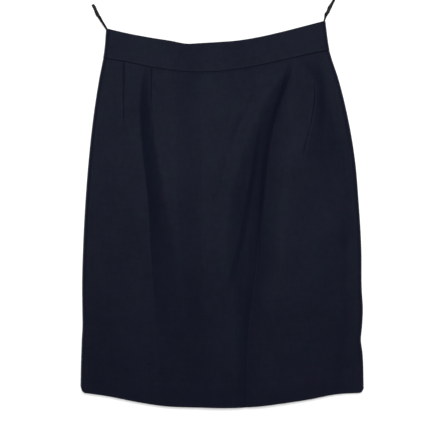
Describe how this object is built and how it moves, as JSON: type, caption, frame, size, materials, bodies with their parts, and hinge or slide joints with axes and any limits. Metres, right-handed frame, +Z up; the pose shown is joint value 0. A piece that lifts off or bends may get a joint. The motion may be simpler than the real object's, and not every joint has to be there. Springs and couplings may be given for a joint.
{
  "type": "pencil skirt laid flat",
  "caption": "Dark navy wool pencil skirt laid flat, with a darted front, a waistband, hanger loops and a back zip.",
  "frame": {"origin": "middle of the box round the skirt, on the surface that it lies on", "axes": "+Y from the hem to the waist, +Z up from the surface, out of the front; +X to the right as seen from above"},
  "size_m": [0.4543, 0.6601, 0.0184],
  "materials": {
    "wool": "fine wool twill, dark navy, soft low sheen",
    "hanger_tape": "narrow woven tape, navy black",
    "zip_tape": "woven zip tape with a nylon coil, navy",
    "zip_metal": "navy enamelled zip slider and pull"
  },
  "bodies": {
    "skirt": {"front_panel": "wool", "back_panel_left": "wool", "back_panel_right": "wool", "waistband_front": "wool", "waistband_back_left": "wool", "waistband_back_right": "wool", "hanger_loop_left": "hanger_tape", "hanger_loop_right": "hanger_tape", "zip_tape": "zip_tape", "zip_slider": "zip_metal"},
    "pull": {"zip_pull": "zip_metal"}
  },
  "joints": [
    {"name": "zip_pull_hinge", "type": "hinge", "parent": "skirt", "child": "pull", "pos_m": [-0.01004, 0.2401, 0.00165], "axis": [1, 0, 0], "range_deg": [0, 170]}
  ]
}
